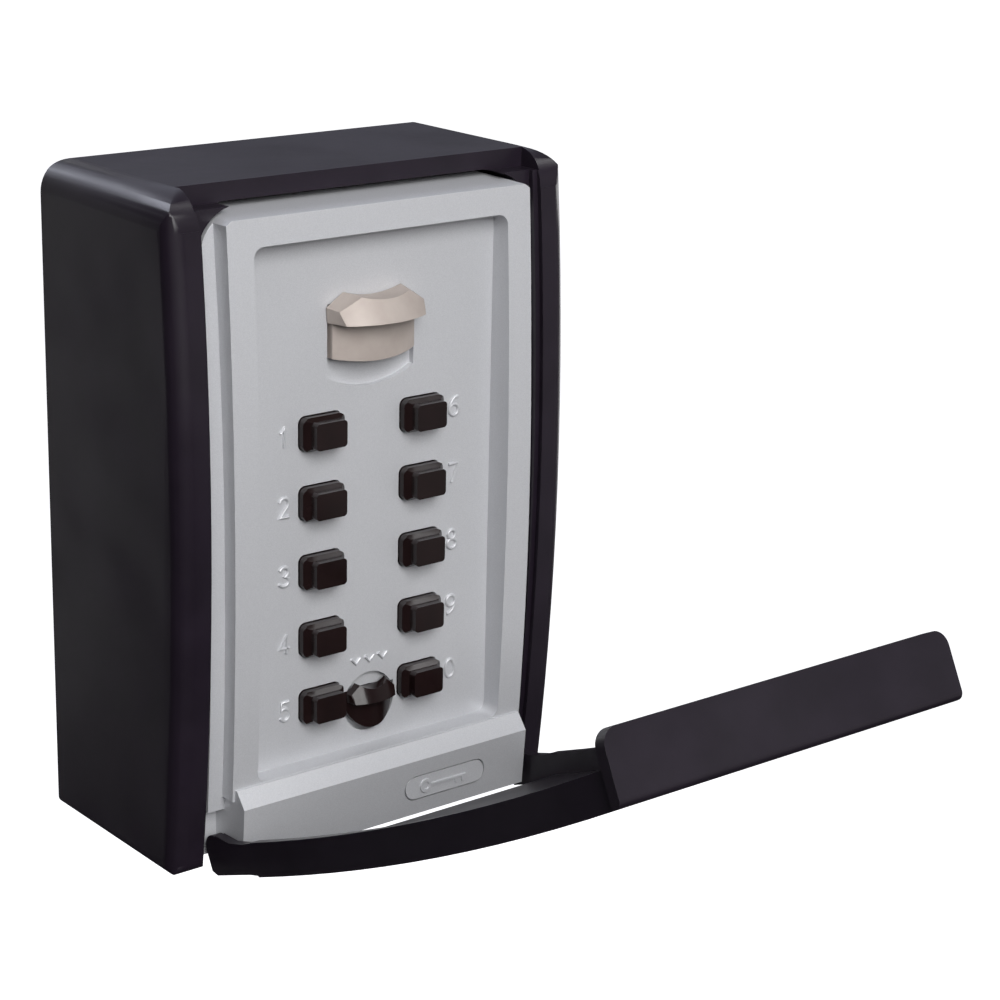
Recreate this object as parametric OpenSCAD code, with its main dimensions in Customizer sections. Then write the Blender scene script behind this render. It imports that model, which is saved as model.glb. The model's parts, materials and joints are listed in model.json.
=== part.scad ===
/* [Case] */
// Width of the case over both cheeks
case_w = 85; // [84:0.5:88]
// Height of the case
case_h = 120; // [119:0.5:122]
// Depth of the cheeks, from the wall to their foremost point
case_d = 43; // [42.6:0.1:43.4]
// Thickness of each cheek
cheek_t = 7; // [6.5:0.1:7.4]
// Thickness of the top wall
roof_t = 3.3; // [3:0.1:3.6]
// Radius of the two top corners, seen from the front
top_corner_r = 5.8; // [4:0.1:6.5]
// Radius of the two bottom corners, seen from the front
bottom_corner_r = 1.5; // [1:0.1:2.5]

/* [Key box] */
// Depth of the key box behind its seal
box_d = 21.3; // [21:0.1:21.4]
// Wall thickness of the key box
box_wall = 2.2; // [1.8:0.1:2.4]
// Thickness of the rubber pad against the wall
gasket_t = 1.5; // [1:0.1:2]
// Distance between the wall screws across the case
wall_hole_dx = 40; // [30:1:46]
// Distance between the wall screws up the case
wall_hole_dz = 70; // [60:1:80]
// Diameter of the wall screw holes
wall_hole_d = 5.5; // [4.5:0.1:6.5]

/* [Door] */
// Width of the raised frame on the door
frame_w = 64.8; // [64:0.1:65]
// Width of the sunk keypad panel
panel_w = 54.4; // [53:0.1:55]
// Thickness of the keypad panel
panel_t = 2.7; // [2.4:0.1:2.8]

/* [Keypad] */
// Distance between one button row and the next
button_pitch = 12.64; // [12:0.02:12.8]
// Distance of each button column from the middle
button_x = 10.98; // [10.6:0.02:11.4]
// Travel of a button
button_travel = 1.5; // [1:0.1:1.5]
// Travel of the open lever
lever_travel = 3.5; // [3:0.1:3.5]
// Travel of the reset slide
reset_travel = 0.9; // [0.6:0.1:0.9]

/* [Weather cover] */
// Angle between the cover's closed and open positions
cover_open = 63.6; // [40:0.1:66]
// Thickness of the cover's front plate
cover_t = 2; // [1.8:0.1:2.1]
// Depth of the cover's side flanges, from its front face
flange_d = 6.1; // [5.6:0.1:6.2]

/* [Hidden] */
eps = 0.01;
big = 200;
round_fn = 64;
arc_fn = 720;

// Heights are measured from the bottom of the case and depths from the wall.
inner_x = case_w / 2 - cheek_t;
roof_z = case_h - roof_t;
floor_t = 2.6;
lip_recess_y = 34.8;
lip_recess_x = inner_x + 1.3;
lip_recess_z = case_h - 3.5;

// Front profile of the cheeks: one large arc.
cheek_r = 550;
cheek_apex_z = 65;
// The casting leans: towards the front its top corners get rounder and lower, and so does its bottom.
lean = 1.2;
lean_corner_r = 6.5;
lean_top = 0.8;
lean_bottom = 0.5;

// Door casting.
door_x = inner_x - 0.2;
door_back = 23.2;
door_top = case_h - 4;
door_corner_r = 8;
door_floor_z = 0.4;
hinge_y = 26;
hinge_z = 3.2;
hinge_pin_r = 1.25;
running = 0.05;
barrel_r = 2.8;
rim_d = 41.3;
rim_r = 625;
rim_z = 57;
frame_d = 44.5;
frame_r = 769;
frame_z = 61;
panel_d = 39;
panel_z0 = 14.3;
panel_z1 = 110;
hollow_x = 32.8;
hollow_z0 = 8;
hollow_z1 = 112.9;
panel_back = panel_d - panel_t;

// Keypad.
first_row_z = 24.62;
row_z = [for (i = [0:4]) first_row_z + (4 - i) * button_pitch];
base_w = 8.9;
base_h = 6.1;
cap_w = 6.5;
cap_h = 4.8;
slide_gap = 0.15;
stem_r = 1.6;
stem_end = 27.2;

// Layers of the mechanism inside the door, as depths from the wall.
guide_front = panel_back - 2.6 - button_travel;
guide_back = guide_front - 1.5;
// The lever's and the reset slide's shanks through the panel, as heights.
lever_shank = [89.9, 96.1];
reset_shank = [20.7, 25];
lock_front = 28.6;
lock_back = 27.4;
plate_front = 24.8;

// Weather cover, drawn shut.
cover_y = 40.5;
cover_z = 3;
cover_x = 34.9;
cover_flange_t = 2;
cover_apex = 49.3;
cover_apex_z = 68;
cover_r = 600;
cover_z0 = 15.5;
lip_x = lip_recess_x - 0.6;
lip_z0 = case_h - 3;
lip_z1 = case_h - 0.8;
lip_back = lip_recess_y + 0.8;
lug_r = 2.4;
cover_pin_r = 1.2;

// ---- helpers ----------------------------------------------------------------

// Moves a piece drawn from the case's bottom edge to the origin at the middle of the back.
module at_case() translate([0, 0, -case_h / 2]) children();

// Extrudes an outline drawn in X and Z forward between two depths.
module deep(from, to) translate([0, -from, 0]) rotate([90, 0, 0]) linear_extrude(to - from) children();

// Extrudes an outline drawn in depth and height across the case.
module across(x0, x1) {
    translate([x0, 0, 0]) rotate([90, 0, 90]) linear_extrude(x1 - x0) mirror([1, 0]) children();
}

// A box between two corners, given as [x, depth, z].
module block(a, b) translate([a[0], -b[1], a[2]]) cube([b[0] - a[0], b[1] - a[1], b[2] - a[2]]);

// A round bar or hole running forward between two depths.
module rod_y(x, z, r, from, to) {
    translate([x, -from, z]) rotate([90, 0, 0]) cylinder(r = r, h = to - from, $fn = round_fn);
}

// A round bar or hole running across the case.
module rod_x(depth, z, r, x0, x1) {
    translate([x0, -depth, z]) rotate([0, 90, 0]) cylinder(r = r, h = x1 - x0, $fn = round_fn);
}

// A drum as long as the case is wide, whose front bulges to one depth at one height.
module drum(depth, z, r, x0 = -big / 2, x1 = big / 2) {
    translate([x0, r - depth, z]) rotate([0, 90, 0]) cylinder(r = r, h = x1 - x0, $fn = arc_fn);
}

// A rectangle with its own radius at the bottom and at the top corners.
module outline(x, z0, z1, r_low, r_top) {
    difference() {
        translate([-x, z0]) square([2 * x, z1 - z0]);
        for (s = [-1, 1]) {
            if (r_low > 0) scale([s, 1]) translate([x, z0]) corner_cut(r_low);
            if (r_top > 0) scale([s, 1]) translate([x, z1]) mirror([0, 1]) corner_cut(r_top);
        }
    }
}

// What a rounding takes off a corner that points right and down.
module corner_cut(r) {
    difference() {
        translate([-r, -1]) square([r + 1, r + 1]);
        translate([-r, r]) circle(r, $fn = round_fn);
    }
}

// A rounded rectangle centred on one point.
module pad(x, z, w, h, r) {
    translate([x, z]) {
        square([w - 2 * r, h], center = true);
        square([w, h - 2 * r], center = true);
        for (sx = [-1, 1], sz = [-1, 1]) translate([sx * (w / 2 - r), sz * (h / 2 - r)]) circle(r, $fn = 32);
    }
}

// Places something at every button, numbered 1 to 9 and then 0.
function button_pos(i) = [(i < 5 ? -1 : 1) * button_x, row_z[i % 5]];
module at_buttons() for (i = [0:9]) translate([button_pos(i)[0], 0, button_pos(i)[1]]) children();

// A coil spring along Z: a ring of points swept round the helix.
module coil(r, wire, length, turns) {
    steps = 14;
    sides = 6;
    n = steps * turns;
    function ring(k) = let (a = 360 * k / steps, z = wire + (length - 2 * wire) * k / n)
        [for (j = [0:sides - 1]) let (b = 360 * j / sides)
            [(r + wire * cos(b)) * cos(a), (r + wire * cos(b)) * sin(a), z + wire * sin(b)]];
    points = [for (k = [0:n]) each ring(k)];
    sides_f = [for (k = [0:n - 1], j = [0:sides - 1]) let (m = (j + 1) % sides)
        [k * sides + j, k * sides + m, (k + 1) * sides + m, (k + 1) * sides + j]];
    ends_f = [[for (j = [sides - 1:-1:0]) j], [for (j = [0:sides - 1]) n * sides + j]];
    polyhedron(points, concat([for (f = sides_f) [f[3], f[2], f[1], f[0]]],
        [for (f = ends_f) [for (j = [sides - 1:-1:0]) f[j]]]), convexity = 8);
}

// ---- case -------------------------------------------------------------------

// Side view of the cheeks: front arc, rounded upper front corner and lower front corner.
module cheek_side() {
    difference() {
        translate([0, -2]) square([case_d + 1, case_h + 2]);
        translate([case_d - 2.3, case_h]) mirror([0, 1]) corner_cut(6.5);
        translate([case_d - 3.8, -1.35]) corner_cut(2);
    }
}

// One cheek: a flat side with a rounded front edge that follows the arc.
module cheek() {
    back_part = case_d - 12;
    intersection() {
        union() {
            block([inner_x, 0, -2], [case_w / 2, back_part, case_h]);
            intersection() {
                translate([0, cheek_r - case_d, cheek_apex_z]) rotate([0, 90, 0])
                    rotate_extrude($fn = arc_fn) cheek_section();
                block([0, back_part - eps, -2], [case_w, case_d + 1, case_h]);
            }
        }
        across(0, case_w) cheek_side();
    }
}

// Section of a cheek's front: 3.3 mm outside and 2.5 mm inside corner rounding.
module cheek_section() {
    outer_r = 3.3;
    inner_r = 2.5;
    difference() {
        translate([cheek_r - 20, inner_x]) square([20, cheek_t]);
        translate([cheek_r, inner_x]) rotate(-90) mirror([1, 0]) corner_cut(inner_r);
        translate([cheek_r, case_w / 2]) rotate(90) corner_cut(outer_r);
    }
}

module housing_shell() color([0.1, 0.1, 0.13]) at_case() difference() {
    intersection() {
        union() {
            cheek();
            mirror([1, 0, 0]) cheek();
            block([-case_w / 2, 0, case_h - 12], [case_w / 2, lip_recess_y, case_h]);
            block([-inner_x - 1, 0, -2], [inner_x + 1, 20.5, floor_t]);
            block([-inner_x, lip_recess_y - 1, case_h - 14], [inner_x, 38.6, lip_recess_z]);
        }
        deep(-1, 60) outline(case_w / 2, -10, case_h, 0, top_corner_r);
        rotate([lean, 0, 0]) deep(-10, 60)
            outline(case_w / 2, -lean_bottom, case_h + lean_top, bottom_corner_r, lean_corner_r);
        across(-case_w, case_w) difference() {
            translate([0, -2]) square([60, case_h + 2]);
            translate([0, case_h]) rotate(180) corner_cut(2);
        }
    }
    // Opening for the key box and the door, with rounded upper corners.
    deep(-1, 60) outline(inner_x, floor_t, roof_z, 0, door_corner_r + 0.2);
    block([-inner_x, 20.5, -3], [inner_x, 60, floor_t + 1]);
    // Seat of the cover's lip over the top of the door.
    block([-lip_recess_x, lip_recess_y, lip_recess_z], [lip_recess_x, 60, case_h + 1]);
    for (s = [-1, 1]) for (z = [25, 95]) rod_x(11, z, 1.5, s > 0 ? inner_x - 1 : -inner_x - 4.2,
        s > 0 ? inner_x + 4.2 : -inner_x + 1);
    for (s = [0, 1]) mirror([s, 0, 0]) rod_x(hinge_y, hinge_z, hinge_pin_r, inner_x - 1, inner_x + 4);
}

module key_box() color([0.62, 0.63, 0.65]) at_case() difference() {
    deep(gasket_t, box_d) outline(inner_x, floor_t, roof_z, 0, door_corner_r + 1.5);
    deep(gasket_t + 2.5, box_d + 1) outline(inner_x - box_wall, floor_t + box_wall, roof_z - box_wall, 1.5, 7);
    for (sx = [-1, 1], sz = [-1, 1])
        rod_y(sx * wall_hole_dx / 2, case_h / 2 + sz * wall_hole_dz / 2, wall_hole_d / 2, 0, 10);
    rod_y(0, 92, 1.25, 0, 10);
    for (s = [-1, 1]) for (z = [25, 95]) rod_x(11, z, 1.6, s * (inner_x - 1) - 3, s * (inner_x - 1) + 3);
    for (s = [-1, 1]) translate([s * 5, -13, roof_z - 3]) cylinder(r = 1.05, h = 5, $fn = round_fn);
}

module wall_gasket() color([0.06, 0.06, 0.06]) at_case() difference() {
    deep(0, gasket_t) outline(inner_x, floor_t, roof_z, 0, door_corner_r + 1.5);
    for (sx = [-1, 1], sz = [-1, 1])
        rod_y(sx * wall_hole_dx / 2, case_h / 2 + sz * wall_hole_dz / 2, wall_hole_d / 2, -1, 3);
}

module door_seal() color([0.08, 0.08, 0.08]) at_case() difference() {
    deep(box_d, box_d + 1.2) outline(inner_x, floor_t, roof_z, 0, door_corner_r + 1.5);
    deep(box_d - 1, box_d + 2) outline(inner_x - box_wall, floor_t + box_wall, roof_z - box_wall, 1.5, 7);
}

module strike_plate() color([0.7, 0.7, 0.72]) at_case() {
    ceiling = roof_z - box_wall;
    difference() {
        union() {
            block([-9, 9, ceiling - 1.2], [9, 21.2, ceiling]);
            block([-9, 19.6, 110.2], [9, 21.2, ceiling]);
        }
        for (s = [-1, 1]) translate([s * 5, -13, ceiling - 3]) cylinder(r = 1.05, h = 5, $fn = round_fn);
    }
}

module strike_screws() color([0.75, 0.75, 0.77]) at_case() for (s = [-1, 1])
    translate([s * 5, -13, roof_z - box_wall - 2.2]) {
        cylinder(r = 2, h = 1, $fn = round_fn);
        cylinder(r = 1, h = 3.2, $fn = round_fn);
    }

module door_hinge_pin() color([0.75, 0.75, 0.77]) at_case()
    rod_x(hinge_y, hinge_z, hinge_pin_r, -inner_x - 4, inner_x + 4);

module key_hook() color([0.78, 0.78, 0.8]) at_case() difference() {
    union() {
        deep(gasket_t + 2.5, gasket_t + 3.7) pad(0, 88, 9, 16, 2);
        rod_y(0, 83, 1.2, gasket_t + 3.7 - eps, 14);
        translate([0, -14, 83]) sphere(1.2, $fn = round_fn);
        translate([0, -14, 83]) cylinder(r = 1.2, h = 5, $fn = round_fn);
    }
    rod_y(0, 92, 1.3, 0, 10);
}

module hook_screw() color([0.75, 0.75, 0.77]) at_case() {
    rod_y(0, 92, 2.4, gasket_t + 3.7, gasket_t + 5);
    rod_y(0, 92, 1.2, gasket_t + 0.3, gasket_t + 4);
}

module interior_pad() color([0.12, 0.12, 0.12]) at_case()
    block([-31, 4.6, floor_t + box_wall], [31, 20.5, floor_t + box_wall + 1.2]);

module shell_screws() color([0.75, 0.75, 0.77]) at_case() for (s = [0, 1]) mirror([s, 0, 0])
    for (z = [25, 95]) {
        rod_x(11, z, 2.8, inner_x - box_wall - 1.4, inner_x - box_wall);
        rod_x(11, z, 1.45, inner_x - box_wall - eps, inner_x + 4);
    }

// ---- door -------------------------------------------------------------------

// Side view of the door's body, with the hinge barrel at its lower back corner.
module door_side() {
    translate([hinge_y, door_floor_z]) square([30, door_top - door_floor_z]);
    translate([door_back, hinge_z]) square([30, door_top - hinge_z]);
    translate([hinge_y, hinge_z]) circle(barrel_r, $fn = round_fn);
}

// Side view of the sloping top edge.
module door_top_slope() {
    polygon([[0, -1], [60, -1], [60, 114], [43, 114.9], [24, door_top], [0, door_top]]);
}

// Side view of the ledge and the apron below the keypad panel.
module apron_side() {
    polygon([[30, door_floor_z], [45.1, door_floor_z], [45.9, 11.3], [43.6, 14.2], [30, 14.2]]);
}

module door_solid() intersection() {
    union() {
        intersection() {
            deep(0, 60) outline(door_x, 0, door_top, 0, door_corner_r);
            drum(rim_d, rim_z, rim_r);
            union() {
                block([-door_x, 0, 9.5], [door_x, 60, case_h]);
                block([-door_x, 0, 0], [door_x, 36.8, 10]);
            }
        }
        intersection() {
            block([-frame_w / 2, 30, 12], [frame_w / 2, 60, case_h]);
            deep(0, 60) outline(door_x, 0, door_top, 0, door_corner_r);
            drum(frame_d, frame_z, frame_r);
        }
        across(-31.9, 31.9) apron_side();
    }
    across(-door_x, door_x) intersection() {
        door_side();
        door_top_slope();
    }
}

// Pocket round the open lever: straight sides and an arched lower edge.
module lever_pocket() intersection() {
    translate([-9.4, 80]) square([18.8, 17.5]);
    translate([0, 100.8]) circle(18.9, $fn = arc_fn);
}

module reset_pocket() {
    translate([0, 22.45]) circle(5.6, $fn = round_fn);
    translate([-5.6, 22.45]) square([11.2, 2.85]);
}

// Slot through the panel, in which a shank travels down.
module slot(x, shank, travel) block([-x, panel_back - 1, shank[0] - travel - 0.1], [x, 60, shank[1] + 0.2]);

module door_casting() color([0.78, 0.79, 0.8]) at_case() difference() {
    union() {
        difference() {
            door_solid();
            deep(panel_d, 60) outline(panel_w / 2, panel_z0, panel_z1, 2, 2);
            deep(door_back - 1, panel_back) outline(hollow_x, hollow_z0, hollow_z1, 2, 6);
        }
        // Bosses for the guide plate and for the mechanism cover.
        for (sx = [-1, 1], z = [14, 108]) rod_y(sx * 20.5, z, 2.8, guide_front, panel_back + 0.5);
        for (sx = [-1, 1], z = [13, 106.5]) rod_y(sx * 29.3, z, 3, plate_front, panel_back + 0.5);
    }
    for (sx = [-1, 1], z = [14, 108]) rod_y(sx * 20.5, z, 1.25, guide_front - 1, panel_back);
    for (sx = [-1, 1], z = [13, 106.5]) rod_y(sx * 29.3, z, 1.25, plate_front - 1, panel_back);
    deep(panel_back - 1, 60) for (i = [0:9])
        pad(button_pos(i)[0], button_pos(i)[1], base_w + 2 * slide_gap, base_h + 2 * slide_gap, 1.4);
    deep(panel_d - 1.2, 60) lever_pocket();
    slot(2.7, lever_shank, lever_travel);
    deep(panel_d - 1.2, 60) reset_pocket();
    slot(1.7, reset_shank, reset_travel);
    rod_x(hinge_y, hinge_z, hinge_pin_r + running, -50, 50);
    for (s = [0, 1]) mirror([s, 0, 0]) rod_x(cover_y, cover_z, cover_pin_r, 28, 40);
    badge_space(0.25, 0.7);
}

// Sunk seat of the badge on the sloping apron, widened by a gap.
badge_x = 12.9;
badge_z = 5.8;
badge_w = 18.2;
badge_h = 4.25;
apron_tilt = atan(0.8 / 10.9);
module badge_space(gap, depth) translate([badge_x, -45.5, badge_z]) rotate([-apron_tilt, 0, 0])
    rotate([90, 0, 0]) translate([0, 0, -depth]) linear_extrude(depth + 2)
        pad(0, 0, badge_w + 2 * gap, badge_h + 2 * gap, badge_h / 2 + gap - eps);

module badge_plate() color([0.7, 0.71, 0.73]) at_case() translate([badge_x, -45.5, badge_z])
    rotate([-apron_tilt, 0, 0]) rotate([90, 0, 0]) {
        translate([0, 0, -0.7]) linear_extrude(0.75) pad(0, 0, badge_w, badge_h, badge_h / 2 - eps);
        // A plain key shape stands on the plate.
        translate([0, 0, -0.1]) linear_extrude(0.45) {
            difference() {
                translate([-4.6, 0]) circle(1.3, $fn = 32);
                translate([-4.6, 0]) circle(0.7, $fn = 32);
            }
            translate([-3.5, -0.25]) square([8.3, 0.5]);
            for (x = [2.2, 3.8]) translate([x, -1.1]) square([0.6, 1]);
        }
    }

module cover_hinge_pins() color([0.75, 0.75, 0.77]) at_case() for (s = [0, 1]) mirror([s, 0, 0])
    rod_x(cover_y, cover_z, cover_pin_r, 28, cover_x - 0.7);

module guide_plate() color([0.66, 0.67, 0.7]) at_case() difference() {
    deep(guide_back, guide_front) outline(23.5, 11, 111, 2, 2);
    at_buttons() rod_y(0, 0, stem_r + running, 20, 40);
    for (sx = [-1, 1], z = [14, 108]) rod_y(sx * 20.5, z, 1.6, 20, 40);
    deep(20, 40) translate([-3, 84.5]) square([6, 13.5]);
    deep(20, 40) translate([-5, 13.5]) square([10, 13.5]);
}

module guide_screws() color([0.75, 0.75, 0.77]) at_case() for (sx = [-1, 1], z = [14, 108]) {
    rod_y(sx * 20.5, z, 2.5, guide_back - 1.5, guide_back);
    rod_y(sx * 20.5, z, 1.2, guide_back - eps, panel_back - 0.8);
}

module mechanism_cover() color([0.6, 0.61, 0.64]) at_case() difference() {
    deep(door_back, plate_front) outline(hollow_x - 0.1, hollow_z0 + 0.1, hollow_z1 - 0.1, 2.2, 6.2);
    at_buttons() rod_y(0, 0, 3.45, 20, 40);
    for (sx = [-1, 1], z = [13, 106.5]) {
        rod_y(sx * 29.3, z, 1.6, 20, 40);
        rod_y(sx * 29.3, z, 2.6, 20, door_back + 1);
    }
    deep(20, 40) translate([-4.6, 98.7]) square([9.2, 8.4]);
}

module cover_screws() color([0.75, 0.75, 0.77]) at_case() for (sx = [-1, 1], z = [13, 106.5])
    difference() {
        union() {
            rod_y(sx * 29.3, z, 2.5, door_back + 0.05, door_back + 1);
            rod_y(sx * 29.3, z, 1.2, door_back + 1 - eps, panel_back - 2);
        }
        for (a = [0, 90]) translate([sx * 29.3, 0, z]) rotate([0, a, 0])
            block([-1.6, door_back - 1, -0.3], [1.6, door_back + 0.55, 0.3]);
    }

module button_springs() color([0.8, 0.8, 0.82]) at_case() at_buttons()
    translate([0, -guide_front, 0]) rotate([90, 0, 0]) coil(2.4, 0.25, 2.75, 3);

module lever_springs() color([0.8, 0.8, 0.82]) at_case() for (s = [-1, 1])
    translate([s * 12, -28, hollow_z0]) coil(1.5, 0.3, 9.9, 7);

module reset_spring() color([0.8, 0.8, 0.82]) at_case() translate([0, -34.6, hollow_z0])
    coil(1, 0.25, 7.9, 6);

// ---- weather cover ----------------------------------------------------------

// Side view of one hinge lug, from its eye up to the flange.
module lug_side() {
    translate([cover_y, cover_z]) circle(lug_r, $fn = round_fn);
    polygon([[cover_y - 2.1, cover_z + 1.7], [40.2, 8.6], [40.9, 13], [41, 16.5], [46.9, 16.5],
             [46.3, 13], [45.3, 2.1], [44.3, 0.7], [cover_y, cover_z - lug_r]]);
}

module cover_shut() difference() {
    union() {
        // Curved front plate with the side flanges.
        intersection() {
            difference() {
                drum(cover_apex, cover_apex_z, cover_r, -cover_x, cover_x);
                difference() {
                    drum(cover_apex - cover_t, cover_apex_z, cover_r - cover_t,
                         -cover_x + cover_flange_t, cover_x - cover_flange_t);
                    block([-big, 0, lip_z0], [big, 60, case_h]);
                }
                drum(cover_apex - flange_d, cover_apex_z, cover_r - flange_d);
            }
            block([-cover_x, 30, cover_z0], [cover_x, 60, lip_z1]);
        }
        // Hinge lugs.
        for (s = [0, 1]) mirror([s, 0, 0]) across(cover_x - cover_flange_t, cover_x) lug_side();
        // Lip that covers the top of the door.
        intersection() {
            translate([0, 0, lip_z0]) linear_extrude(lip_z1 - lip_z0) mirror([0, 1])
                outline(lip_x, lip_back, 60, 2.8, 0);
            drum(cover_apex, cover_apex_z, cover_r);
        }
    }
    for (s = [0, 1]) mirror([s, 0, 0])
        rod_x(cover_y, cover_z, cover_pin_r + running, 30, cover_x - 0.6);
    // The edge between the lip and the front is rounded.
    across(-big / 2, big / 2) translate([47.2, lip_z1]) mirror([0, 1]) corner_cut(1.4);
}

module weather_cover() color([0.09, 0.09, 0.12]) at_case()
    translate([0, -cover_y, cover_z]) rotate([cover_open, 0, 0]) translate([0, cover_y, -cover_z])
        cover_shut();

// ---- moving parts of the lock ------------------------------------------------

// Button: flange behind the panel, base, sloping shoulder, cap and guide stem.
module button(i) {
    x = button_pos(i)[0];
    z = button_pos(i)[1];
    flange_front = panel_back - 0.1;
    color([0.13, 0.11, 0.11]) at_case() {
        deep(flange_front - 1.2, flange_front) pad(x, z, base_w + 1.6, base_h + 1.6, 1.6);
        deep(flange_front - eps, 40.3) pad(x, z, base_w, base_h, 1.3);
        intersection() {
            deep(40.3 - eps, 41.1) pad(x, z, base_w, base_h, 1.3);
            translate([x, 0, z]) across(-6, 6) polygon([[40, -base_h / 2], [40.3, -base_h / 2],
                [41.1, -cap_h / 2], [41.1, cap_h / 2], [40.3, base_h / 2], [40, base_h / 2]]);
            translate([x, 0, z]) linear_extrude(10, center = true) mirror([0, 1])
                polygon([[-base_w / 2, 40], [-base_w / 2, 40.3], [-cap_w / 2, 41.1],
                         [cap_w / 2, 41.1], [base_w / 2, 40.3], [base_w / 2, 40]]);
        }
        deep(41.1 - eps, 42.8) pad(x, z, cap_w, cap_h, 0.7);
        rod_y(x, z, stem_r, stem_end, flange_front - 1.2 + eps);
    }
}

// Code screw: a slotted disc in the mechanism cover, behind its button.
module code_screw(i) {
    x = button_pos(i)[0];
    z = button_pos(i)[1];
    color([0.8, 0.68, 0.4]) at_case() difference() {
        union() {
            rod_y(x, z, 3.4, door_back, plate_front + 0.05 + eps);
            rod_y(x, z, 4.1, plate_front + 0.05, plate_front + 0.55);
        }
        block([x - 2.6, door_back - 1, z - 0.45], [x + 2.6, door_back + 0.8, z + 0.45]);
        rod_y(x + 1.9, z + 1.5, 0.45, door_back - 1, door_back + 0.5);
    }
}

// One thin layer of a finger bar: half-widths and heights at its ears and at its top.
module bar_layer(depth, z_low, low, ear, top) deep(depth, depth + eps)
    polygon([[-low, z_low], [-ear[0], ear[1]], [-top[0], top[1]], [top[0], top[1]], [ear[0], ear[1]],
             [low, z_low]]);

// Outline of the lever's body, with an arched lower edge.
module lever_body_front() intersection() {
    translate([-8.9, 80]) square([17.8, 17]);
    translate([0, 134]) circle(47, $fn = arc_fn);
}

// The finger bar gets narrower towards the front, its face leans back and its upper edge is hollow.
module lever_bar() difference() {
    intersection() {
        hull() {
            bar_layer(39.2, 94.3, 9.6, [9.84, 97], [6.3, 99.3]);
            bar_layer(47, 94.3, 7.7, [8.05, 96.2], [3.2, 99]);
        }
        translate([0, -46, 94.3]) rotate([-24, 0, 0]) translate([0, 18, -20]) cylinder(r = 18, h = 60, $fn = arc_fn);
    }
    rod_y(0, 117.3, 19, 30, 60);
}

module open_lever() color([0.78, 0.74, 0.7]) at_case() difference() {
    union() {
        intersection() {
            deep(37.95, 50) lever_body_front();
            translate([0, -23.15, 60]) cylinder(r = 18.9, h = 60, $fn = arc_fn);
        }
        lever_bar();
        block([-2.5, lock_front, lever_shank[0]], [2.5, 38, lever_shank[1]]);
    }
    rod_y(0, 93, 0.95, lock_front - 1, 34);
}

module lock_plate() color([0.7, 0.71, 0.74]) at_case() difference() {
    deep(lock_back, lock_front) outline(16, 18, 108, 1, 1);
    for (i = [0:9]) deep(20, 40) translate([button_pos(i)[0] - 1.9, button_pos(i)[1] - 1.9])
        square([3.8, 3.8 + lever_travel]);
    rod_y(0, 93, 1.3, 20, 40);
    for (x = [-2.5, 2.5]) rod_y(x, 104.5, 0.95, 20, 40);
}

module lever_screw() color([0.75, 0.75, 0.77]) at_case() {
    rod_y(0, 93, 2.2, lock_back - 1, lock_back);
    rod_y(0, 93, 0.9, lock_back - eps, 33);
}

module latch_hook() color([0.72, 0.73, 0.76]) at_case() {
    block([-4, lock_back - 1.6, 102.6], [4, lock_back, 107]);
    block([-4, 17, 102.6], [4, lock_back - 1.6 + eps, 106.4]);
    block([-4, 17, 106.4 - eps], [4, 18.6, 109.6]);
}

module reset_bar() difference() {
    intersection() {
        hull() {
            bar_layer(39.2, 23.2, 5, [5.2, 24.9], [3.4, 26.6]);
            bar_layer(43, 23.2, 4, [4.2, 24.5], [1.8, 26.4]);
        }
        translate([0, -42.4, 23.2]) rotate([-24, 0, 0]) translate([0, 10, -20]) cylinder(r = 10, h = 60, $fn = round_fn * 2);
    }
    rod_y(0, 31, 5.5, 30, 60);
}

module reset_slide() color([0.12, 0.11, 0.11]) at_case() {
    intersection() {
        deep(37.95, 45) union() {
            translate([0, 23.1]) circle(5.2, $fn = round_fn);
            translate([-5.2, 23.1]) square([10.4, 2.1]);
        }
        block([-6, 37, 16], [6, 46, 25.2]);
        translate([0, -32.7, 0]) cylinder(r = 8, h = 60, $fn = round_fn * 2);
    }
    reset_bar();
    block([-1.5, 33.6, reset_shank[0]], [1.5, 38, reset_shank[1]]);
}

module reset_keeper() color([0.7, 0.71, 0.74]) at_case() difference() {
    block([-4.4, 33.7, 16], [4.4, 35.6, 26.2]);
    block([-1.5, 30, reset_shank[0]], [1.5, 40, reset_shank[1]]);
}

housing_shell();
key_box();
wall_gasket();
door_seal();
strike_plate();
strike_screws();
door_hinge_pin();
key_hook();
hook_screw();
interior_pad();
shell_screws();
door_casting();
badge_plate();
cover_hinge_pins();
guide_plate();
guide_screws();
mechanism_cover();
cover_screws();
button_springs();
lever_springs();
reset_spring();
weather_cover();
open_lever();
lock_plate();
lever_screw();
latch_hook();
reset_slide();
reset_keeper();
for (i = [0:9]) button(i);
for (i = [0:9]) code_screw(i);
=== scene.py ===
"""Key lock box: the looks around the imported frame.

The weather cover hangs open, as it does at rest. Lengths are in millimetres where a name ends
in _mm or _MM, and in metres otherwise. The frame's origin is the middle of the flat back, and the
front faces -Y.
"""

import json
import math

import bmesh
import bpy
from mathutils import Matrix, Vector


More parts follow.
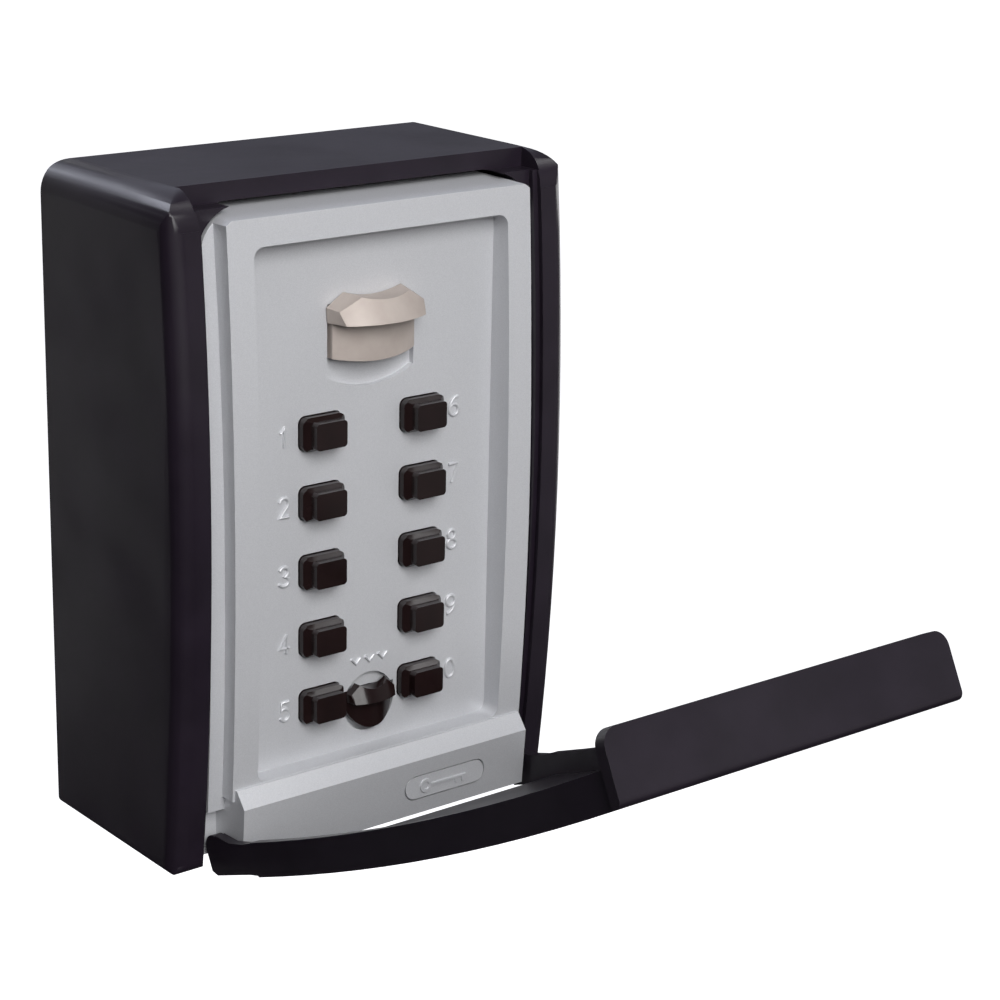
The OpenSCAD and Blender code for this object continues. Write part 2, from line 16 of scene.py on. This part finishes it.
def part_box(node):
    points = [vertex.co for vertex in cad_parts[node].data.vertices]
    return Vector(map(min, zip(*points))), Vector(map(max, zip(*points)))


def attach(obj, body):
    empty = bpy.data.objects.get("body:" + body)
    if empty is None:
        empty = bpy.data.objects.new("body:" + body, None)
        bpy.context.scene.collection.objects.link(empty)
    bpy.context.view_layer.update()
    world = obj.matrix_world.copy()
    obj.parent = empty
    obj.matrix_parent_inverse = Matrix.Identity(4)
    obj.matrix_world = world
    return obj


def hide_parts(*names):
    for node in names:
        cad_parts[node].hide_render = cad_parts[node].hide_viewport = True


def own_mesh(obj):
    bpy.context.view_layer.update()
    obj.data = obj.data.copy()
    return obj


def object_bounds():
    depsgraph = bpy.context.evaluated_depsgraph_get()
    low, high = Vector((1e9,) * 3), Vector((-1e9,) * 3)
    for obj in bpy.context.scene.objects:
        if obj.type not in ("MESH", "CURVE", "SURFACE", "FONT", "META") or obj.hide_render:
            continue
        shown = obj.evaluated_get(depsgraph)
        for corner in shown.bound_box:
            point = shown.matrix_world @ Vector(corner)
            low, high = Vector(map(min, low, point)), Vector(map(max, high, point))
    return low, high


MM = 0.001
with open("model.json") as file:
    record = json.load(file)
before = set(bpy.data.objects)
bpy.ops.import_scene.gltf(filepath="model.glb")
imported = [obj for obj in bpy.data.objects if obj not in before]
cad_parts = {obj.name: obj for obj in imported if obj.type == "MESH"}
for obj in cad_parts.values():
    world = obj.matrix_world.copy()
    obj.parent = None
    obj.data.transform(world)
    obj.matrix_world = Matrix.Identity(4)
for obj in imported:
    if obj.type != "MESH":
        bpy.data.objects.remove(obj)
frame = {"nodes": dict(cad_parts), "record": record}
NODES = frame["nodes"]
BODY_OF = {node: body for body, nodes in frame["record"]["behaviour"]["bodies"].items()
           for node in nodes}
SLOT_OF = {part["node"]: part["material_slot"] for part in frame["record"]["subparts"]}
CAD_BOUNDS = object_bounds()
WHITE = (1, 1, 1)
DIGITS = "1234567890"

# How far the real edges of each node are rounded, and from what angle, in degrees, an edge counts
# as real. The case's limit is higher, so the shallow edges along its curved cheeks stay.
SOFT_EDGES_MM = {
    "housing_shell": 0.35, "door_casting": 0.25, "weather_cover": 0.45, "open_lever": 0.35,
    "reset_slide": 0.3, "key_box": 0.4, "badge_plate": 0.08, "mechanism_cover": 0.3,
    "latch_hook": 0.3, "strike_plate": 0.2, "key_hook": 0.15, "door_hinge_pin": 0.2,
    "cover_hinge_pins": 0.15, "cover_screws": 0.12, "strike_screws": 0.15, "hook_screw": 0.2,
    "shell_screws": 0.2, "interior_pad": 0.3, "wall_gasket": 0.3, "door_seal": 0.3,
}
SOFT_EDGES_MM.update({"button_%d" % i: 0.3 for i in range(10)})
SOFT_EDGES_MM.update({"code_screw_%d" % i: 0.12 for i in range(10)})
EDGE_ANGLE = 38
SHELL_EDGE_ANGLE = 60
EDGE_SEGMENTS = 3

# How close vertices count as one, and in degrees, how flat faces are joined and from what angle
# an edge is shaded sharp.
MERGE_MM = 0.02
COIL_MERGE_MM = 0.002
FLAT_ANGLE = 0.4
SHARP_ANGLE = 32
COIL_SHARP_ANGLE = 60
MARK_SHARP_ANGLE = 50

# The digits stand on the keypad panel, outside the two columns of buttons, and the chevrons above
# the reset slide. Their ridges reach STROKE_RADIUS_MM to each side, and STROKE_RAISE times that
# far forward.
PANEL_FRONT_MM = 39.0
DIGIT_OFFSET_MM = 7.67
DIGIT_HEIGHT_MM = 3.5
DIGIT_WIDTH_MM = 2.1
STROKE_RADIUS_MM = 0.34
STROKE_RAISE = 1.25
CHEVRON_SIZE_MM = (1.9, 1.1)
CHEVRON_STEP_MM = 3.0
CHEVRON_Z_MM = -29.3

# How near a button's middle its spring stays.
BUTTON_COIL_REACH_MM = 4

# The product shot's view, with angles in degrees.
CAMERA_AZIMUTH = 39.59
CAMERA_ELEVATION = 17.06
CAMERA_ROLL = 1.25
CAMERA_PLACE_MM = (-270.94, -402.99, 140.24)
CAMERA_SENSOR_MM = 36
CAMERA_LENS_MM = 95.84
CAMERA_CLIP = (0.01, 20)

# Square and oblong lamps that all aim at one point: name, place, size, watts, colour.
# The last two show the back and the right side, which the product shot does not see.
LAMP_TARGET = (0, -0.03, 0)
LAMPS = (
    ("key", (-0.25, -1.05, 0.65), (0.8, 0.8), 18, WHITE),
    ("front", (0.95, -0.95, -0.1), (1.1, 1.1), 1.1, WHITE),
    ("fill", (-0.95, -0.85, 0.3), (0.9, 0.9), 0.8, WHITE),
    ("edge", (0.65, -0.32, 0.8), (0.25, 0.25), 1.1, WHITE),
    ("corner", (-0.3, 0.8, 0.63), (0.3, 0.3), 2.2, (0.85, 0.88, 1.0)),
    ("overhead", (0.2, 0.8, 0.65), (1.4, 0.5), 1.6, (0.8, 0.84, 1.0)),
    ("rear", (0.1, 1.2, -0.15), (0.9, 0.9), 6, WHITE),
    ("right", (1.3, 0.35, 0.0), (0.8, 0.8), 4, WHITE),
)

# The stage: a dome and a floor this far below the box, and how bright each glows.
DOME_RADIUS = 5.0
FLOOR_DROP = 0.6
FLOOR_REACH = DOME_RADIUS * 0.9
DOME_GLOW = 1.0
FLOOR_GLOW = 0.92


# ---- materials ---------------------------------------------------------------


def new_material(name, base, roughness, metallic=0.0):
    """Makes a Principled material, and returns it with its node tree and its shader."""
    mat = bpy.data.materials.new(name)
    mat.use_nodes = True
    tree = mat.node_tree
    shader = tree.nodes["Principled BSDF"]
    shader.inputs["Base Color"].default_value = (*base, 1)
    shader.inputs["Roughness"].default_value = roughness
    shader.inputs["Metallic"].default_value = metallic
    return mat, tree, shader


def noise(tree, scale_mm, detail, stretch=(1, 1, 1)):
    """Noise whose features are about scale_mm wide, in object space."""
    coord = tree.nodes.new("ShaderNodeTexCoord")
    mapping = tree.nodes.new("ShaderNodeMapping")
    mapping.inputs["Scale"].default_value = stretch
    tex = tree.nodes.new("ShaderNodeTexNoise")
    tex.inputs["Scale"].default_value = 1 / (scale_mm * MM)
    tex.inputs["Detail"].default_value = detail
    tree.links.new(coord.outputs["Object"], mapping.inputs["Vector"])
    tree.links.new(mapping.outputs["Vector"], tex.inputs["Vector"])
    return tex.outputs["Fac"]


def ramp(tree, value, low, high, start=0.35, end=0.65):
    """Turns a value from start to end into a blend of two levels, each a number or a colour."""
    node = tree.nodes.new("ShaderNodeValToRGB")
    stops = node.color_ramp.elements
    for stop, place, level in ((stops[0], start, low), (stops[1], end, high)):
        stop.position = place
        stop.color = (*level, 1) if isinstance(level, tuple) else (level, level, level, 1)
    tree.links.new(value, node.inputs["Fac"])
    return node.outputs["Color"]


def bump(tree, shader, value, height_mm, strength, before=None):
    """Raises the surface by a value, on top of the normal of the bump before it."""
    node = tree.nodes.new("ShaderNodeBump")
    node.inputs["Strength"].default_value = strength
    node.inputs["Distance"].default_value = height_mm * MM
    tree.links.new(value, node.inputs["Height"])
    if before:
        tree.links.new(before, node.inputs["Normal"])
    tree.links.new(node.outputs["Normal"], shader.inputs["Normal"])
    return node.outputs["Normal"]


def shade(colour, level):
    return tuple(channel * level for channel in colour)


def black_paint(name, base, roughness, grain_mm, grain_height_mm):
    """Satin black: fine orange peel under a slow change of gloss and tone."""
    mat, tree, shader = new_material(name, base, roughness)
    shader.inputs["Specular IOR Level"].default_value = 0.4
    gloss = ramp(tree, noise(tree, 22, 4), roughness - 0.04, roughness + 0.06)
    tree.links.new(gloss, shader.inputs["Roughness"])
    tone = ramp(tree, noise(tree, 9, 5), shade(base, 0.88), shade(base, 1.15))
    tree.links.new(tone, shader.inputs["Base Color"])
    bump(tree, shader, noise(tree, grain_mm, 2), grain_height_mm, 0.5)
    return mat


def silver_paint(name):
    """Metallic silver paint: flakes that catch light one by one over a soft sheen."""
    mat, tree, shader = new_material(name, (0.56, 0.565, 0.585), 0.5, 0.3)
    flake_mm = 0.09
    flakes = tree.nodes.new("ShaderNodeTexVoronoi")
    flakes.inputs["Scale"].default_value = 1 / (flake_mm * MM)
    coord = tree.nodes.new("ShaderNodeTexCoord")
    tree.links.new(coord.outputs["Object"], flakes.inputs["Vector"])
    cell = tree.nodes.new("ShaderNodeSeparateColor")
    tree.links.new(flakes.outputs["Color"], cell.inputs["Color"])
    tone = ramp(tree, cell.outputs["Red"], (0.53, 0.535, 0.555), (0.6, 0.605, 0.625), 0.1, 0.95)
    tree.links.new(tone, shader.inputs["Base Color"])
    tree.links.new(ramp(tree, cell.outputs["Green"], 0.4, 0.5, 0, 1), shader.inputs["Roughness"])
    orange_peel = bump(tree, shader, noise(tree, 0.5, 2), 0.012, 0.3)
    bump(tree, shader, cell.outputs["Blue"], 0.006, 0.2, orange_peel)
    return mat


def nickel(name):
    """Satin nickel plate, brushed faintly across."""
    mat, tree, shader = new_material(name, (0.43, 0.375, 0.34), 0.55, 0.2)
    shader.inputs["Specular IOR Level"].default_value = 0.3
    brushed = noise(tree, 0.1, 2, (0.05, 1, 1))
    tree.links.new(ramp(tree, brushed, 0.52, 0.6), shader.inputs["Roughness"])
    tone = ramp(tree, noise(tree, 4, 3), (0.41, 0.355, 0.322), (0.45, 0.395, 0.36))
    tree.links.new(tone, shader.inputs["Base Color"])
    bump(tree, shader, brushed, 0.001, 0.3)
    return mat


def button_plastic(name):
    """Glossy brown-black plastic with a soft moulding ripple."""
    mat, tree, shader = new_material(name, (0.011, 0.0055, 0.0055), 0.18)
    shader.inputs["Specular IOR Level"].default_value = 0.3
    tree.links.new(ramp(tree, noise(tree, 2.5, 3), 0.16, 0.2), shader.inputs["Roughness"])
    tone = ramp(tree, noise(tree, 5, 3), (0.0095, 0.0048, 0.0048), (0.0125, 0.0062, 0.0062))
    tree.links.new(tone, shader.inputs["Base Color"])
    bump(tree, shader, noise(tree, 1.2, 2), 0.015, 0.2)
    return mat


def bare_metal(name, dark, light, rough_low, rough_high, grain_mm, stretch=(1, 1, 1)):
    """Plain metal whose tone and gloss change with its grain."""
    mat, tree, shader = new_material(name, light, rough_high, 1.0)
    grain = noise(tree, grain_mm, 4, stretch)
    tree.links.new(ramp(tree, grain, dark, light), shader.inputs["Base Color"])
    gloss = ramp(tree, noise(tree, grain_mm * 3, 3), rough_low, rough_high)
    tree.links.new(gloss, shader.inputs["Roughness"])
    bump(tree, shader, grain, 0.01, 0.3)
    return mat


def soft_black(name, base, grain_mm, height_mm):
    """Rubber or felt: matt, with a grain of its own scale."""
    mat, tree, shader = new_material(name, base, 0.85)
    grain = noise(tree, grain_mm, 4)
    tone = ramp(tree, grain, shade(base, 0.7), shade(base, 1.4))
    tree.links.new(tone, shader.inputs["Base Color"])
    bump(tree, shader, grain, height_mm, 0.6)
    return mat


MATERIALS = {slot: maker(slot, *settings) for slot, maker, *settings in (
    ("shell_black", black_paint, (0.0125, 0.0085, 0.0145), 0.34, 0.45, 0.008),
    ("cover_black", black_paint, (0.0135, 0.01, 0.0155), 0.33, 0.3, 0.008),
    ("silver_paint", silver_paint),
    ("nickel", nickel),
    ("button_black", button_plastic),
    ("rubber_black", soft_black, (0.02, 0.02, 0.021), 0.6, 0.02),
    ("zinc_inner", bare_metal, (0.33, 0.335, 0.35), (0.45, 0.455, 0.47), 0.4, 0.55, 1.2),
    ("steel", bare_metal, (0.48, 0.48, 0.5), (0.6, 0.6, 0.62), 0.25, 0.38, 0.4, (0.2, 1, 1)),
    ("spring_steel", bare_metal, (0.5, 0.5, 0.51), (0.62, 0.62, 0.63), 0.2, 0.3, 0.2),
    ("brass", bare_metal, (0.6, 0.43, 0.17), (0.72, 0.54, 0.25), 0.22, 0.36, 0.35),
    ("felt", soft_black, (0.016, 0.016, 0.018), 0.25, 0.08),
)}


# ---- meshes ------------------------------------------------------------------


def applied(obj):
    """A mesh of the object as its modifiers or its curve settings make it."""
    graph = bpy.context.evaluated_depsgraph_get()
    mesh = bpy.data.meshes.new_from_object(obj.evaluated_get(graph))
    obj.modifiers.clear()
    return mesh


def finish_mesh(obj, angle=SHARP_ANGLE):
    """Applies the modifiers, and shades smooth except across real edges, with flat faces flat."""
    obj.data = applied(obj)
    for face in obj.data.polygons:
        face.use_smooth = True
    obj.data.set_sharp_from_angle(angle=math.radians(angle))
    normals = obj.modifiers.new("flat faces", "WEIGHTED_NORMAL")
    normals.keep_sharp = True
    normals.weight = 100
    obj.data = applied(obj)


def new_object(name, mesh, slot, body, *replaced):
    """A visible piece that rides on a body and may stand for CAD nodes."""
    obj = bpy.data.objects.new(name, mesh)
    bpy.context.scene.collection.objects.link(obj)
    obj.data.materials.clear()
    obj.data.materials.append(MATERIALS[slot])
    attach(obj, body)
    if replaced:
        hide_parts(*replaced)
    return obj


def softened(node, width_mm, angle):
    """A copy of a CAD node with its real edges rounded, which stands for that node."""
    mesh = NODES[node].data.copy()
    work = bmesh.new()
    work.from_mesh(mesh)
    bmesh.ops.remove_doubles(work, verts=work.verts, dist=MERGE_MM * MM)
    bmesh.ops.dissolve_limit(work, angle_limit=math.radians(FLAT_ANGLE), verts=work.verts,
                             edges=work.edges)
    work.to_mesh(mesh)
    work.free()
    obj = new_object(node + "_finished", mesh, SLOT_OF[node], BODY_OF[node], node)
    bevel = obj.modifiers.new("edges", "BEVEL")
    bevel.width = width_mm * MM
    bevel.segments = EDGE_SEGMENTS
    bevel.limit_method = "ANGLE"
    bevel.angle_limit = math.radians(angle)
    bevel.use_clamp_overlap = True
    finish_mesh(obj)


def button_centre(digit):
    """Where a button stands on the panel, as (x, z)."""
    low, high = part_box("button_" + digit)
    return (low[0] + high[0]) / 2, (low[2] + high[2]) / 2


def coil_piece(name, node, centre=None):
    """Coil springs as a piece of their own, which rides on the body of their CAD node.

    With a centre, given as (x, z), the piece takes only the button spring around it.
    """
    work = bmesh.new()
    work.from_mesh(NODES[node].data)
    bmesh.ops.remove_doubles(work, verts=work.verts, dist=COIL_MERGE_MM * MM)
    if centre:
        middles = [(face, face.calc_center_median()) for face in work.faces]
        others = [face for face, middle in middles
                  if math.dist((middle.x, middle.z), centre) > BUTTON_COIL_REACH_MM * MM]
        bmesh.ops.delete(work, geom=others, context="FACES")
    mesh = bpy.data.meshes.new(name)
    work.to_mesh(mesh)
    work.free()
    obj = new_object(name, mesh, SLOT_OF[node], BODY_OF[node], node)
    finish_mesh(obj, COIL_SHARP_ANGLE)
    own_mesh(obj)


def add_springs():
    coil_piece("lever_coils", "lever_springs")
    coil_piece("reset_coil", "reset_spring")
    for digit in DIGITS:
        coil_piece("button_coil_" + digit, "button_springs",
                   button_centre(digit))


# ---- keypad marks --------------------------------------------------------------


def arc(x, z, rx, rz, start, end, steps=14):
    """Points along an elliptical arc, with angles in degrees counter-clockwise from +X."""
    angles = [math.radians(start + (end - start) * i / steps) for i in range(steps + 1)]
    return [(x + rx * math.cos(angle), z + rz * math.sin(angle)) for angle in angles]


def digit_strokes(digit):
    """A digit's strokes in a box from -0.5 to 0.5 both ways."""
    six = [arc(0.45, -0.2, 0.93, 0.7, 92, 180), arc(0, -0.2, 0.48, 0.3, 0, 360)]
    strokes = {
        "0": [arc(0, 0, 0.48, 0.5, 0, 360, 24)],
        "1": [[(-0.35, 0.22), (0.05, 0.5), (0.05, -0.5)]],
        "2": [arc(0, 0.22, 0.46, 0.28, 165, -35) + [(-0.48, -0.5), (0.48, -0.5)]],
        "3": [arc(-0.02, 0.25, 0.44, 0.25, 160, -90)
              + arc(-0.02, -0.25, 0.5, 0.25, 90, -160)],
        "4": [[(0.22, -0.5), (0.22, 0.5), (-0.5, -0.2), (0.5, -0.2)]],
        "5": [[(0.42, 0.5), (-0.34, 0.5), (-0.4, 0.04)]
              + arc(0, -0.17, 0.48, 0.33, 130, -150)],
        "6": six,
        "7": [[(-0.5, 0.5), (0.5, 0.5), (-0.12, -0.5)]],
        "8": [arc(0, 0.26, 0.4, 0.24, 0, 360), arc(0, -0.24, 0.48, 0.26, 0, 360)],
        "9": [[(-x, -z) for x, z in stroke] for stroke in six],
    }
    return strokes[digit]


def raised_strokes(name, strokes, x_mm, z_mm, width_mm, height_mm):
    """Half-round ridges cast on the panel, along strokes drawn in a box of side 1."""
    curve = bpy.data.curves.new(name, "CURVE")
    curve.dimensions = "3D"
    curve.bevel_depth = STROKE_RADIUS_MM * MM
    curve.bevel_resolution = 3
    curve.use_fill_caps = True
    for stroke in strokes:
        closed = math.dist(stroke[0], stroke[-1]) < 1e-6
        points = stroke[:-1] if closed else stroke
        spline = curve.splines.new("POLY")
        spline.points.add(len(points) - 1)
        spline.use_cyclic_u = closed
        for point, (x, z) in zip(spline.points, points):
            point.co = (x * width_mm * MM, 0, z * height_mm * MM, 1)
    maker = bpy.data.objects.new(name + "_curve", curve)
    bpy.context.scene.collection.objects.link(maker)
    mesh = applied(maker)
    bpy.data.objects.remove(maker)
    place = Matrix.Translation(Vector((x_mm, -PANEL_FRONT_MM, z_mm)) * MM)
    mesh.transform(place @ Matrix.Diagonal((1, STROKE_RAISE, 1, 1)))
    obj = new_object(name, mesh, SLOT_OF["door_casting"], BODY_OF["door_casting"])
    finish_mesh(obj, MARK_SHARP_ANGLE)


def add_keypad_marks():
    for digit in DIGITS:
        x, z = (value / MM for value in button_centre(digit))
        raised_strokes("digit_" + digit, digit_strokes(digit),
                       x + math.copysign(DIGIT_OFFSET_MM, x), z,
                       DIGIT_WIDTH_MM, DIGIT_HEIGHT_MM)
    chevron = [(-0.5, 0.5), (0, -0.5), (0.5, 0.5)]
    for i in (-1, 0, 1):
        raised_strokes("reset_mark_%d" % (i + 2), [chevron], i * CHEVRON_STEP_MM, CHEVRON_Z_MM,
                       *CHEVRON_SIZE_MM)


# ---- stage -------------------------------------------------------------------


def softbox(name, place, size, power, colour):
    light = bpy.data.lights.new(name, "AREA")
    light.shape = "RECTANGLE"
    light.size, light.size_y = size
    light.energy = power
    light.color = colour
    obj = bpy.data.objects.new(name, light)
    obj.location = place
    bpy.context.scene.collection.objects.link(obj)
    aim = Vector(LAMP_TARGET) - obj.location
    obj.rotation_euler = aim.to_track_quat("-Z", "Y").to_euler()


def add_camera():
    """The product shot's view: from the front left and a little above."""
    azimuth, elevation, roll = (math.radians(angle) for angle in
                                (CAMERA_AZIMUTH, CAMERA_ELEVATION, CAMERA_ROLL))
    back = Vector((-math.sin(azimuth) * math.cos(elevation),
                   -math.cos(azimuth) * math.cos(elevation),
                   math.sin(elevation)))
    right = (-back).cross(Vector((0, 0, 1))).normalized()
    up = right.cross(-back)
    turned_right = math.cos(roll) * right + math.sin(roll) * up
    turned_up = -math.sin(roll) * right + math.cos(roll) * up
    data = bpy.data.cameras.new("camera")
    data.sensor_width = CAMERA_SENSOR_MM
    data.lens = CAMERA_LENS_MM
    data.clip_start, data.clip_end = CAMERA_CLIP
    camera = bpy.data.objects.new("camera", data)
    bpy.context.scene.collection.objects.link(camera)
    turn = Matrix((turned_right, turned_up, back)).transposed().to_4x4()
    camera.matrix_world = Matrix.Translation(Vector(CAMERA_PLACE_MM) * MM) @ turn
    bpy.context.scene.camera = camera


def glowing(name, level):
    """Matt white that gives off light of its own."""
    mat, _, shader = new_material(name, (0.9, 0.9, 0.9), 1.0)
    shader.inputs["Specular IOR Level"].default_value = 0.0
    shader.inputs["Emission Color"].default_value = (*WHITE, 1)
    shader.inputs["Emission Strength"].default_value = level
    return mat


def add_stage():
    """A white floor well below the box, which hangs on a wall, inside a white dome.

    Neither lights the box: the lamps and the faint studio world do that alone.
    """
    work = bmesh.new()
    bmesh.ops.create_icosphere(work, subdivisions=4, radius=DOME_RADIUS)
    bmesh.ops.reverse_faces(work, faces=work.faces)
    dome_mesh = bpy.data.meshes.new("dome")
    work.to_mesh(dome_mesh)
    work.free()
    low = CAD_BOUNDS[0][2] - FLOOR_DROP
    corners = [(x * FLOOR_REACH, y * FLOOR_REACH, low)
               for x, y in ((-1, -1), (1, -1), (1, 1), (-1, 1))]
    floor_mesh = bpy.data.meshes.new("floor")
    floor_mesh.from_pydata(corners, [], [(0, 1, 2, 3)])
    for name, mesh, level in (("dome", dome_mesh, DOME_GLOW), ("floor", floor_mesh, FLOOR_GLOW)):
        obj = bpy.data.objects.new(name, mesh)
        bpy.context.scene.collection.objects.link(obj)
        mesh.materials.append(glowing(name + "_white", level))
        obj.visible_diffuse = False
        obj.visible_glossy = False
        obj.visible_shadow = False


def add_world():
    """A dim room: dark to the sides and below, paler overhead."""
    world = bpy.data.worlds.new("studio")
    bpy.context.scene.world = world
    world.use_nodes = True
    tree = world.node_tree
    coord = tree.nodes.new("ShaderNodeTexCoord")
    split = tree.nodes.new("ShaderNodeSeparateXYZ")
    room = tree.nodes.new("ShaderNodeValToRGB")
    stops = room.color_ramp.elements
    stops[0].position, stops[0].color = 0.0, (0.03, 0.028, 0.032, 1)
    stops[1].position, stops[1].color = 0.8, (0.2, 0.205, 0.23, 1)
    tree.links.new(coord.outputs["Generated"], split.inputs["Vector"])
    tree.links.new(split.outputs["Z"], room.inputs["Fac"])
    tree.links.new(room.outputs["Color"], tree.nodes["Background"].inputs["Color"])
    tree.nodes["Background"].inputs["Strength"].default_value = 1.0


bpy.context.scene.view_settings.view_transform = "Standard"
for node, obj in NODES.items():
    obj.data.materials.clear()
    obj.data.materials.append(MATERIALS[SLOT_OF[node]])

for node, width_mm in SOFT_EDGES_MM.items():
    softened(node, width_mm, SHELL_EDGE_ANGLE if node == "housing_shell" else EDGE_ANGLE)
add_springs()
add_keypad_marks()

add_world()
add_camera()
for lamp in LAMPS:
    softbox(*lamp)
add_stage()
